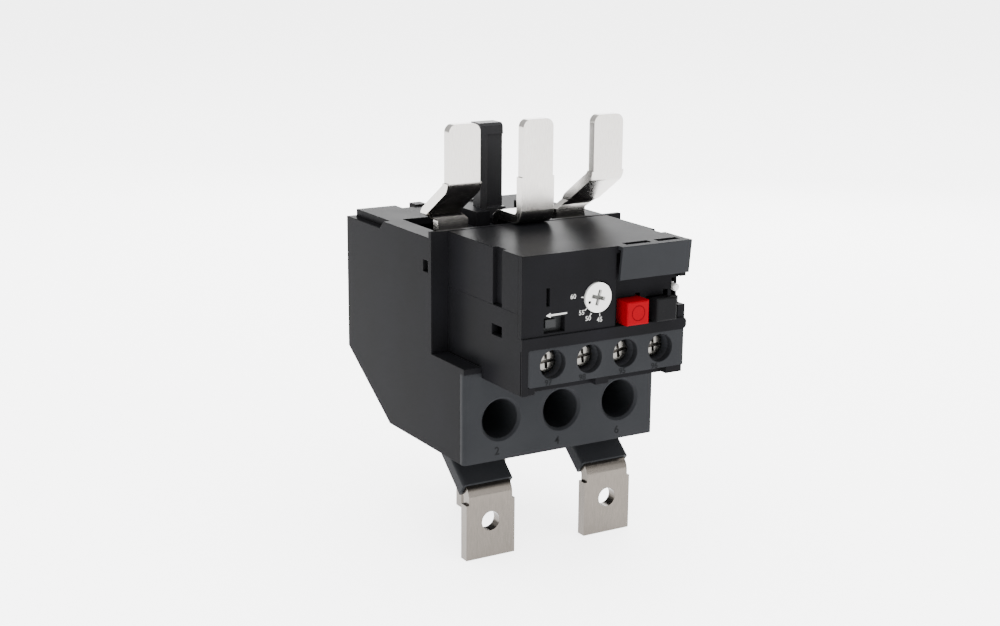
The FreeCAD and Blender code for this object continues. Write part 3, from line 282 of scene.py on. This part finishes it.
def moulded_plastic(name, dark, light, roughness, sheen, grain_mm, grain_depth_mm, edge_mm):
    """Injection moulded plastic: spark-eroded grain, slightly uneven gloss and rounded edges."""
    material, tree, output, at = new_material(name)
    grain = noise(tree, at, size_mm=grain_mm, detail=4.0)
    patches = noise(tree, at, size_mm=14, detail=3.0)
    surface(tree, output, {"IOR": 1.5, "Specular IOR Level": sheen},
            colour=two_tone(tree, patches, dark, light),
            gloss_range=(roughness - 0.05, roughness + 0.05), patches=patches,
            relief=grain, relief_strength=0.6, relief_mm=grain_depth_mm, edge_mm=edge_mm)
    return material


def sheet_metal(name, dark, light, roughness, grain_mm, stretch, edge_mm=0.15):
    """Rolled, stamped or turned metal: fine lines, and brighter and duller patches."""
    material, tree, output, at = new_material(name)
    lay = add(tree, "ShaderNodeMapping", {"Scale": stretch}, {"Vector": at})
    lines = noise(tree, lay.outputs["Vector"], size_mm=grain_mm, detail=5.0)
    patches = noise(tree, at, size_mm=9, detail=3.0)
    surface(tree, output, {"Metallic": 1.0},
            colour=two_tone(tree, lines, dark, light),
            gloss_range=(roughness - 0.06, roughness + 0.08), patches=patches,
            relief=lines, relief_strength=0.25, relief_mm=0.004, edge_mm=edge_mm)
    return material


def make_materials():
    """Materials of the record's slots."""
    return {
        # Black glass-filled thermoset, moulded: nearly black, with a faint silky sheen
        "black_housing": moulded_plastic(
            "black_thermoset", "#101011", "#131315", roughness=0.33, sheen=0.008,
            grain_mm=0.35, grain_depth_mm=0.008, edge_mm=0.30),
        # Dark grey polyamide, moulded with a matt grain: lifts the covers from the black body
        "grey_cover": moulded_plastic(
            "dark_grey_polyamide", "#1c1d1f", "#202123", roughness=0.50, sheen=0.03,
            grain_mm=0.30, grain_depth_mm=0.012, edge_mm=0.30),
        # Copper blade with a bright tin coat: pale silver, faint lines along its length
        "plated_blade": sheet_metal(
            "bright_tinned_copper", "#a6a39f", "#b1aeaa", roughness=0.18,
            grain_mm=0.20, stretch=ALONG),
        # Copper tab with a satin tin coat: warmer and duller than the blades
        "plated_tab": sheet_metal(
            "satin_tinned_copper", "#524e49", "#5b5651", roughness=0.24,
            grain_mm=0.16, stretch=ALONG),
        # Zinc plated nuts, clamps and pin: cool bright grey
        "zinc_steel": sheet_metal(
            "zinc_plated_steel", "#8f9092", "#b4b5b6", roughness=0.28,
            grain_mm=0.25, stretch=EVERY_WAY),
        # Resistance alloy strip: dark oxidised metal
        "heater_alloy": sheet_metal(
            "resistance_alloy", "#6f6a62", "#8a847a", roughness=0.45,
            grain_mm=0.30, stretch=ALONG),
        # Bimetal strip: rolled, slightly yellow
        "bimetal": sheet_metal(
            "rolled_bimetal", "#9a917f", "#b4ab98", roughness=0.36,
            grain_mm=0.30, stretch=ALONG),
        # Stamped brass contact parts: warm yellow in the screw wells
        "contact_brass": sheet_metal(
            "stamped_brass", "#b5934e", "#d0b06a", roughness=0.30,
            grain_mm=0.30, stretch=ALONG),
        # Drawn spring wire: dark bright steel
        "spring_steel": sheet_metal(
            "spring_wire", "#85878a", "#a2a4a6", roughness=0.30,
            grain_mm=0.20, stretch=EVERY_WAY),
        # Natural polyamide of the inner moving parts: creamy and matt
        "slide_plastic": moulded_plastic(
            "natural_polyamide", "#a8a294", "#b5afa2", roughness=0.45, sheen=0.4,
            grain_mm=0.30, grain_depth_mm=0.008, edge_mm=0.15),
        # White acetal of the dial and the selector pin: clean white with a soft gloss
        "white_plastic": moulded_plastic(
            "white_acetal", "#c2c2c0", "#cacac8", roughness=0.40, sheen=0.3,
            grain_mm=0.25, grain_depth_mm=0.006, edge_mm=0.15),
        # Red moulded cap: saturated, soft gloss
        "red_plastic": moulded_plastic(
            "red_cap", "#68000a", "#71000c", roughness=0.34, sheen=0.008,
            grain_mm=0.30, grain_depth_mm=0.006, edge_mm=0.30),
        # Black moulded cap: soft gloss, about as dark as the housing
        "black_plastic": moulded_plastic(
            "black_cap", "#0f0f10", "#121213", roughness=0.36, sheen=0.02,
            grain_mm=0.30, grain_depth_mm=0.006, edge_mm=0.30),
        # Orange signal plastic of the trip flag: shows in the window when it drops
        "flag_plastic": moulded_plastic(
            "orange_signal_plastic", "#c06008", "#cc6c10", roughness=0.45, sheen=0.2,
            grain_mm=0.30, grain_depth_mm=0.008, edge_mm=0.10),
    }


def make_finishes():
    """Materials of the pieces that only this script models, and of two lighter CAD pieces."""
    return {
        # Pad-printed white ink: flat and matt
        "ink": moulded_plastic(
            "white_print", "#a4a4a2", "#acacaa", roughness=0.60, sheen=0.05,
            grain_mm=0.20, grain_depth_mm=0.002, edge_mm=0.02),
        # Dark paint on the dial: marks the setting
        "dot": moulded_plastic(
            "dark_dial_mark", "#0c0c0c", "#121212", roughness=0.60, sheen=0.02,
            grain_mm=0.20, grain_depth_mm=0.002, edge_mm=0.02),
        # Grey moulded slider: stands out in its black window
        "test_grey": moulded_plastic(
            "grey_slider", "#1a1b1c", "#1e1f20", roughness=0.40, sheen=0.1,
            grain_mm=0.30, grain_depth_mm=0.006, edge_mm=0.15),
        # Black moulded hook, a little lighter than the housing: painted light, so its groove can
        # be seen
        "painted_light_hook": moulded_plastic(
            "painted_light_black_hook", "#1c1c1d", "#202022", roughness=0.36, sheen=0.06,
            grain_mm=0.35, grain_depth_mm=0.008, edge_mm=0.30),
        # Grey of the control cover, a step lighter: painted light, so the walls of its bores read
        # as lit
        "painted_light_bore": moulded_plastic(
            "painted_light_bore_wall", "#2e2f32", "#343538", roughness=0.50, sheen=0.04,
            grain_mm=0.30, grain_depth_mm=0.012, edge_mm=0.10),
        # Moulded numbers, coloured a little darker than the cover around them: painted shade
        "painted_shade_number": moulded_plastic(
            "painted_shade_moulding", "#0c0d0e", "#101112", roughness=0.50, sheen=0.03,
            grain_mm=0.30, grain_depth_mm=0.010, edge_mm=0.05),
        # Painted shade: a dull grey plate on the floor of the cross in the dial, so it reads as a
        # deep, shaded recess in the white
        "painted_recess_shade": moulded_plastic(
            "painted_shade_recess_floor", "#4a4a48", "#525250", roughness=0.60, sheen=0.05,
            grain_mm=0.20, grain_depth_mm=0.002, edge_mm=0.02),
        # Fine dark ring on the red cap: painted shade that reads as a round groove
        "painted_groove_shade": moulded_plastic(
            "painted_shade_red_line", "#240002", "#2c0003", roughness=0.50, sheen=0.02,
            grain_mm=0.20, grain_depth_mm=0.002, edge_mm=0.02),
        # Zinc plated screw heads: bright, with worn gloss
        "head": sheet_metal(
            "zinc_screw_head", "#5c5a57", "#6f6d69", roughness=0.22,
            grain_mm=0.25, stretch=EVERY_WAY, edge_mm=0.10),
        # Steel screw heads deep in their wells: duller than the others, dark in the shade there
        "dark_head": sheet_metal(
            "blackened_screw_head", "#626264", "#707072", roughness=0.40,
            grain_mm=0.25, stretch=EVERY_WAY, edge_mm=0.10),
    }


def dress_nodes(materials, finishes):
    """Gives each carried-over piece the material of its slot; the slider gets its own grey, the
    hook a painted-light black.
    """
    # The hook's lighter black is painted light; the slider's grey is its own colour
    lighter = {"test_slider": "test_grey", "coupling_hook": "painted_light_hook"}
    slots = {sub["node"]: sub["material_slot"] for sub in frame["record"]["subparts"]}
    for name, piece in frame["nodes"].items():
        piece.data.materials.clear()
        finish = finishes[lighter[name]] if name in lighter else materials[slots[name]]
        piece.data.materials.append(finish)


# Pieces modelled here

def edit(select_mode="FACE"):
    """Enters edit mode with nothing selected and returns the mesh to pick from."""
    bpy.ops.object.mode_set(mode="EDIT")
    bpy.ops.mesh.select_mode(type=select_mode)
    bpy.ops.mesh.select_all(action="DESELECT")
    return bmesh.from_edit_mesh(bpy.context.object.data)


def select_all():
    bpy.ops.mesh.select_all(action="SELECT")


def pick_faces(mesh, wanted):
    for face in mesh.faces:
        face.select_set(wanted(face))
    bmesh.update_edit_mesh(bpy.context.object.data)


def draw_out(x, y, z):
    """Extrudes what is selected."""
    bpy.ops.mesh.extrude_region_move(TRANSFORM_OT_translate={"value": (x, y, z)})


def leave_edit():
    """Turns all faces outwards and leaves edit mode."""
    select_all()
    bpy.ops.mesh.normals_make_consistent(inside=False)
    bpy.ops.object.mode_set(mode="OBJECT")


def apply_place():
    bpy.ops.object.transform_apply(location=True, rotation=True, scale=True)


def move_to(point):
    """Moves the active piece, with the move in its mesh."""
    bpy.context.object.location = point
    apply_place()


def face_front(turn=0.0):
    """Turns the active piece from facing up to facing the front, after a turn on its own axis."""
    piece = bpy.context.object
    piece.rotation_mode = "XYZ"
    piece.rotation_euler = (0, 0, turn)
    apply_place()
    piece.rotation_euler = (radians(90), 0, 0)
    apply_place()


def join(pieces):
    deselect()
    for piece in pieces:
        piece.select_set(True)
    bpy.context.view_layer.objects.active = pieces[0]
    if len(pieces) > 1:
        bpy.ops.object.join()
    return bpy.context.object


def finish_piece(piece, name, material, body, node=None):
    """Names a piece, gives it its material and says which body it moves with."""
    piece.name = name
    piece.data.name = name
    piece.data.materials.clear()
    piece.data.materials.append(material)
    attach(piece, body)
    if node:
        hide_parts(node)


def cut_away(piece, cutter):
    """Cuts one piece out of another and deletes the cutter."""
    pick(piece)
    cut = piece.modifiers.new("cut", "BOOLEAN")
    cut.operation = "DIFFERENCE"
    cut.object = cutter
    cut.solver = "EXACT"
    bpy.ops.object.modifier_apply(modifier=cut.name)
    remove(cutter)


def groove_cutter(length, width, low, high, taper):
    """Bar that cuts a groove across a screw head, narrower at its floor."""
    deselect()
    bpy.ops.mesh.primitive_cube_add(size=1, location=(0, 0, (low + high) / 2))
    cutter = bpy.context.object
    cutter.scale = (length, width, high - low)
    apply_place()
    pick_faces(edit(), lambda face: face.normal.z < -FACING)
    bpy.ops.transform.resize(value=(taper, taper, 1))
    leave_edit()
    return cutter


def model_screw(head, thick, shank, length, slot_width, recess):
    """Pan head screw that stands on the origin, head up, with a slot and a cross in its head."""
    deselect()
    bpy.ops.mesh.primitive_cylinder_add(
        vertices=ROUND_SIDES, radius=head / 2, depth=thick, location=(0, 0, thick / 2))
    screw = bpy.context.object
    apply_place()

    # Domed rim
    rim = thick * 0.34
    pick_faces(edit(), lambda face: face.normal.z > FACING)
    bpy.ops.mesh.bevel(offset=rim, offset_type="OFFSET", segments=5, affect="EDGES")
    bpy.ops.mesh.select_all(action="DESELECT")

    # Shank drawn out of the underside, with a chamfered end
    chamfer = shank * 0.12
    pick_faces(bmesh.from_edit_mesh(screw.data), lambda face: face.normal.z < -FACING)
    bpy.ops.mesh.inset(thickness=(head - shank) / 2, depth=0)
    draw_out(0, 0, -length)
    bpy.ops.mesh.bevel(offset=chamfer, offset_type="OFFSET", segments=1, affect="EDGES")
    leave_edit()

    # Slot from rim to rim and a shorter, deeper cross
    above = thick * 1.5
    floor = thick - recess
    slot_floor = floor + recess * 0.25
    slot_length, slot_taper = head * 1.2, 0.94
    cross_length, cross_taper = head * 0.66, 0.72
    cut_away(screw, groove_cutter(slot_length, slot_width, slot_floor, above, slot_taper))
    cut_away(screw, groove_cutter(slot_width, cross_length, floor, above, cross_taper))
    cut_away(screw, groove_cutter(cross_length, slot_width, floor, above, cross_taper))
    pick(screw)
    bpy.ops.object.shade_smooth_by_angle(angle=SMOOTH_ANGLE)
    return screw


def seat_copies(original, centres, turns, level, depth):
    """One piece of copies that face the front in a row, each turned its own way."""
    seated = []
    for x, turn in zip(centres, turns):
        pick(original)
        bpy.ops.object.duplicate(linked=False)
        face_front(radians(turn))
        move_to(place(x, depth, level))
        seated.append(bpy.context.object)
    remove(original)
    return join(seated)


def model_annulus(outer, inner, rise, sides):
    """Flat ring on the origin, drawn out along its axis."""
    deselect()
    bpy.ops.mesh.primitive_circle_add(vertices=sides, radius=outer, fill_type="NGON")
    edit()
    select_all()
    bpy.ops.mesh.inset(thickness=outer - inner, depth=0)
    bpy.ops.mesh.delete(type="FACE")
    select_all()
    draw_out(0, 0, rise)
    leave_edit()
    return bpy.context.object


def make_collars(finishes):
    """Collars that carry the bores of the control cover in to the screw heads, in a lighter grey
    of painted light.
    """
    collar = model_annulus(COLLAR_OUTER * MM, COLLAR_INNER * MM, -COLLAR_DEPTH * MM, ROUND_SIDES)
    bpy.ops.object.shade_smooth_by_angle(angle=SMOOTH_ANGLE)
    unturned = [0] * len(CONTROL_CENTRES)
    collars = seat_copies(collar, CONTROL_CENTRES, unturned, CONTROL_LEVEL, COLLAR_FRONT)
    # The collars take a lighter grey than the cover: painted light on the bore walls
    finish_piece(collars, "control_cover_collars", finishes["painted_light_bore"], "frame")


def make_screws(finishes):
    screw = model_screw(**{name: size * MM for name, size in CONTROL_SCREW.items()})
    screws = seat_copies(
        screw, CONTROL_CENTRES, CONTROL_SCREW_TURNS, CONTROL_LEVEL, CONTROL_HEAD_SEAT)
    finish_piece(
        screws, "control_screw_set", finishes["head"], "frame", "control_screws")
    screw = model_screw(**{name: size * MM for name, size in POWER_SCREW.items()})
    screws = seat_copies(screw, POLE_CENTRES, POWER_SCREW_TURNS, POWER_LEVEL, POWER_HEAD_SEAT)
    finish_piece(
        screws, "power_screw_set", finishes["dark_head"], "frame", "power_screws")


def model_spring(radius, wire, length, turns):
    """Compression spring that stands on the origin, a wire circle swept up and around."""
    deselect()
    bpy.ops.mesh.primitive_circle_add(
        vertices=WIRE_SIDES, radius=wire, location=(radius, 0, wire), rotation=(radians(90), 0, 0))
    spring = bpy.context.object
    apply_place()
    sweep = spring.modifiers.new("sweep", "SCREW")
    sweep.angle = radians(360 * turns)
    sweep.screw_offset = length - 2 * wire
    sweep.steps = int(STEPS_PER_TURN * turns)
    sweep.render_steps = sweep.steps
    bpy.ops.object.modifier_apply(modifier=sweep.name)
    edit()
    select_all()
    bpy.ops.mesh.fill_holes(sides=0)
    leave_edit()
    bpy.ops.object.shade_smooth_by_angle(angle=SPRING_SMOOTH_ANGLE)
    return spring


def seat_spring(node, coil_radius, turns, direction, material):
    """Spring from the frame to a moving piece."""
    low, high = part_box(node)
    middle = (low + high) / 2
    along = Vector(direction)
    length = abs(along.dot(high - low))
    spring = model_spring(coil_radius * MM, SPRING_WIRE * MM, length, turns)
    spring.rotation_mode = "QUATERNION"
    spring.rotation_quaternion = along.to_track_quat("Z", "Y")
    move_to(middle - along * (length / 2))
    finish_piece(spring, node + "_coil", material, "frame", node)
    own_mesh(spring)


def make_springs(materials):
    """Round springs in place of the faceted ones."""
    steel = materials["spring_steel"]
    forwards, to_the_right = (0, -1, 0), (1, 0, 0)
    for joint, node in (("stop_press", "stop_spring"), ("reset_press", "reset_spring")):
        seat_spring(node, BUTTON_COIL_RADIUS, BUTTON_COIL_TURNS,
                    forwards, steel)
    seat_spring("test_spring", SLIDER_COIL_RADIUS, SLIDER_COIL_TURNS,
                to_the_right, steel)


def model_text(text, height, relief, weight, middle):
    """Flat or raised characters that face the front, with their middle at a point."""
    deselect()
    bpy.ops.object.text_add()
    letters = bpy.context.object
    letters.data.body = text
    letters.data.size = height / CAPITAL_SHARE
    letters.data.extrude = relief / 2
    letters.data.offset = weight
    letters.data.align_x = "CENTER"
    letters.data.align_y = "CENTER"
    letters.data.resolution_u = 5
    bpy.ops.object.convert(target="MESH")
    edit("VERT")
    select_all()
    bpy.ops.mesh.remove_doubles(threshold=0.001 * MM)
    leave_edit()
    face_front()
    move_to(middle)
    return bpy.context.object


def panel_run(start, end):
    """Way from start to end, given in millimetres on the panel."""
    return Vector((end[0] - start[0], end[1] - start[1]))


def panel_strip(start, end, width):
    """Flat strip as long as the way from start to end."""
    deselect()
    bpy.ops.mesh.primitive_plane_add(size=1)
    strip = bpy.context.object
    strip.scale = (panel_run(start, end).length * MM, width * MM, 1)
    apply_place()
    return strip


def lay_on_panel(strip, start, end, y):
    """Faces a strip to the front, turns it to run from start to end and moves it there."""
    (x0, z0), (x1, z1) = start, end
    face_front()
    strip.rotation_euler = (0, Vector((1, 0)).angle_signed(panel_run(start, end)), 0)
    apply_place()
    move_to(place((x0 + x1) / 2, y, (z0 + z1) / 2))


def model_bar(start, end, width, relief, y):
    """Thin printed bar on the panel, narrower where it starts."""
    narrowing = 0.7
    bar = panel_strip(start, end, width)
    edit()
    select_all()
    draw_out(0, 0, relief * MM)
    bpy.ops.mesh.select_all(action="DESELECT")
    pick_faces(bmesh.from_edit_mesh(bar.data), lambda face: face.normal.x < -FACING)
    bpy.ops.transform.resize(value=(1, narrowing, 1))
    leave_edit()
    lay_on_panel(bar, start, end, y)
    return bar


def model_arrow_head(tip, back, width, relief, y):
    """Thin printed triangle whose tip points away from its back."""
    head = panel_strip(back, tip, width)
    mesh = edit("EDGE")
    for edge in mesh.edges:
        edge.select_set(all(vertex.co.x > 0 for vertex in edge.verts))
    bmesh.update_edit_mesh(head.data)
    bpy.ops.mesh.merge(type="CENTER")
    select_all()
    draw_out(0, 0, relief * MM)
    leave_edit()
    lay_on_panel(head, back, tip, y)
    return head


def model_ring(outer, inner, relief, middle):
    """Thin flat ring that faces the front."""
    ring = model_annulus(outer, inner, relief, RING_SIDES)
    face_front()
    move_to(middle)
    return ring


def model_cross(span, width, relief, turn, middle):
    """Thin cross-shaped plate that faces the front, turned about its middle."""
    deselect()
    bpy.ops.mesh.primitive_cube_add(size=1)
    cross = bpy.context.object
    cross.scale = (width, width, relief)
    apply_place()
    reach = (span - width) / 2
    for x, y in ((1, 0), (-1, 0), (0, 1), (0, -1)):

        # End face of the middle block on this side, which an arm grows from
        def is_root(face):
            centre = face.calc_center_median()
            faces_out = face.normal.x * x + face.normal.y * y > FACING
            return faces_out and abs(centre.x * x + centre.y * y - width / 2) < width / 10

        pick_faces(edit(), is_root)
        draw_out(x * reach, y * reach, 0)
        leave_edit()
    face_front(turn)
    move_to(middle)
    return cross


def model_disc(radius, relief, middle):
    """Small round mark with a bevelled rim that faces the front."""
    deselect()
    bpy.ops.mesh.primitive_cylinder_add(vertices=DISC_SIDES, radius=radius, depth=relief)
    disc = bpy.context.object
    pick_faces(edit(), lambda face: face.normal.z > FACING)
    bpy.ops.mesh.inset(thickness=radius * 0.25, depth=-relief * 0.3)
    leave_edit()
    face_front()
    move_to(middle)
    return disc


def make_raised_numbers(name, numbers, height, depth, level, finishes):
    raised = [
        model_text(number, height * MM, RAISED_RELIEF * MM, RAISED_WEIGHT * MM,
                   place(x, depth, level))
        for number, x in numbers
    ]
    # The raised numbers take a darker finish: painted shade
    finish_piece(join(raised), name, finishes["painted_shade_number"], "frame")


def make_markings(finishes):
    """Printed scale, arrow and dial dot, painted shade in the dial's cross and on the red cap,
    raised numbers.
    """
    prints = []
    for number, (x, z), outer, inner in SCALE:
        prints.append(model_text(number, SCALE_NUMBER_HEIGHT * MM, PRINT_RELIEF * MM, 0.0,
                                 place(x, -PRINT_RELIEF / 2, z)))
        prints.append(model_bar(outer, inner, TICK_WIDTH, PRINT_RELIEF, 0.0))
    prints.append(model_bar(ARROW_TAIL, ARROW_NECK, ARROW_WIDTH, PRINT_RELIEF, 0.0))
    prints.append(
        model_arrow_head(ARROW_TIP, ARROW_HEAD_BACK, ARROW_HEAD_WIDTH, PRINT_RELIEF, 0.0))
    finish_piece(join(prints), "dial_scale", finishes["ink"], "frame")

    dial_x, dial_z = DIAL_CENTRE
    dot_x = dial_x + DOT_DISTANCE * cos(DOT_ANGLE)
    dot_z = dial_z + DOT_DISTANCE * sin(DOT_ANGLE)
    dot = model_disc(DOT_RADIUS * MM, DOT_RELIEF * MM, place(dot_x, DOT_DEPTH, dot_z))
    finish_piece(dot, "dial_dot", finishes["dot"], "dial")

    # Grey plate of painted shade on the floor of the dial's cross recess
    cross = model_cross(CROSS_SPAN * MM, CROSS_WIDTH * MM, CROSS_RELIEF * MM, CROSS_TURN,
                        place(dial_x, CROSS_DEPTH, dial_z))
    finish_piece(cross, "dial_cross_painted_shade", finishes["painted_recess_shade"], "dial")

    # Dark ring of painted shade on the red cap, where its groove is
    ring = model_ring(RING_OUTER * MM, RING_INNER * MM, RING_RELIEF * MM, place(*RING_MIDDLE))
    finish_piece(ring, "stop_ring", finishes["painted_groove_shade"], "stop")

    make_raised_numbers("control_numbers", CONTROL_NUMBERS, CONTROL_NUMBER_HEIGHT,
                        CONTROL_NUMBER_DEPTH, CONTROL_NUMBER_LEVEL, finishes)
    make_raised_numbers("power_numbers", POWER_NUMBERS, POWER_NUMBER_HEIGHT,
                        POWER_NUMBER_DEPTH, POWER_NUMBER_LEVEL, finishes)


# Studio

def make_floor():
    """Pale paper that glows a little, so the background stays near white."""
    deselect()
    bpy.ops.mesh.primitive_plane_add(size=24.0, location=(0, 0, -0.0002))
    floor = bpy.context.object
    floor.name = "floor"
    material, tree, output, at = new_material("pale_paper")
    colour = two_tone(tree, noise(tree, at, size_mm=4, detail=2.0), "#fafafa", "#ffffff")
    shader = add(tree, "ShaderNodeBsdfPrincipled",
                 {"Roughness": 0.9, "Emission Color": linear("#ffffff"), "Emission Strength": 3.7},
                 {"Base Color": colour})
    tree.links.new(shader.outputs["BSDF"], output.inputs["Surface"])
    floor.data.materials.append(material)


def add_light(name, spot, aim, size, power):
    lamp = bpy.data.lights.new(name, "AREA")
    lamp.energy = power
    lamp.shape = "RECTANGLE"
    lamp.size = size[0]
    lamp.size_y = size[1]
    light = bpy.data.objects.new(name, lamp)
    bpy.context.scene.collection.objects.link(light)
    light.location = spot
    light.rotation_mode = "QUATERNION"
    light.rotation_quaternion = (Vector(aim) - Vector(spot)).to_track_quat("-Z", "Y")


def make_lights():
    middle = (0, 0, 0.08)
    add_light("top_softbox", (0.0, 0.05, 1.0), middle, size=(1.6, 1.6), power=26)
    add_light("front_softbox", (0.20, -0.90, 0.35), middle, size=(0.8, 0.6), power=5.0)
    add_light("back_softbox", (0.36, 0.42, 0.26), middle, size=(0.45, 0.22), power=2.0)
    world = bpy.data.worlds.new("studio")
    bpy.context.scene.world = world
    world.use_nodes = True
    background = world.node_tree.nodes["Background"]
    background.inputs["Color"].default_value = linear("#ffffff")
    background.inputs["Strength"].default_value = 1.2


make_camera()
materials = make_materials()
finishes = make_finishes()
dress_nodes(materials, finishes)
make_screws(finishes)
make_collars(finishes)
make_springs(materials)
make_markings(finishes)
make_floor()
make_lights()
